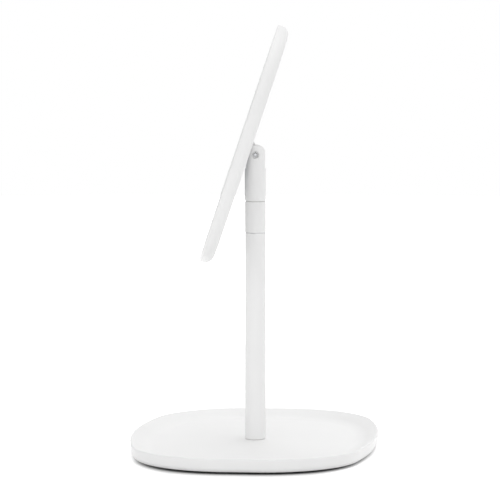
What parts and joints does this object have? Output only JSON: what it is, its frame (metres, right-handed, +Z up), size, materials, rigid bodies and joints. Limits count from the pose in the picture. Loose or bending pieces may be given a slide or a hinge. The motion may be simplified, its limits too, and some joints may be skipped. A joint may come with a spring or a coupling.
{
  "type": "tabletop mirror",
  "caption": "Soft oval mirror panel that tilts in a fork head, which swivels on a slim pole above a shallow dished tray of the same outline.",
  "frame": {"origin": "on the table under the pole's axis, at the middle of the pad's underside", "axes": "+Z up along the pole; the mirror faces -Y; +X along the tray's width"},
  "size_m": [0.2908, 0.192, 0.3296],
  "materials": {
    "white_shell": "moulded white plastic with a fine satin texture",
    "white_paint": "white powder coat, satin",
    "plated_steel": "zinc-plated steel",
    "nylon": "dark nylon",
    "pale_nylon": "natural nylon",
    "dark_pad": "dense black foam rubber sheet",
    "foam": "double-sided foam tape",
    "silvered_glass": "silvered float glass with a ground edge"
  },
  "bodies": {
    "base": {"base_tray": "white_shell", "base_weight": "plated_steel", "base_pad": "dark_pad", "pole_bolt": "plated_steel", "foot_pin": "plated_steel", "foot_gasket": "pale_nylon", "foot_plug": "plated_steel", "pole_tube": "white_paint", "swivel_collar": "white_paint", "swivel_bush": "pale_nylon"},
    "head": {"hinge_head": "white_paint", "swivel_screw": "plated_steel", "swivel_spring": "plated_steel", "swivel_washer": "plated_steel", "hinge_screw": "plated_steel", "hinge_sleeve": "plated_steel", "friction_washers": "nylon"},
    "mirror": {"hinge_tongue": "white_paint", "tongue_screws": "plated_steel", "hinge_plate": "plated_steel", "plate_screws": "plated_steel", "mirror_shell": "white_shell", "glass_tape": "foam", "glass_pads": "foam", "mirror_glass": "silvered_glass"}
  },
  "joints": [
    {"name": "head_swivel", "type": "hinge", "parent": "base", "child": "head", "pos_m": [0, 0, 0.1934], "axis": [0, 0, 1], "continuous": true},
    {"name": "mirror_tilt", "type": "hinge", "parent": "head", "child": "mirror", "pos_m": [0, 0, 0.2293], "axis": [-0.9973, -0.0741, 0], "range_deg": [-12.6, 71.4]}
  ]
}
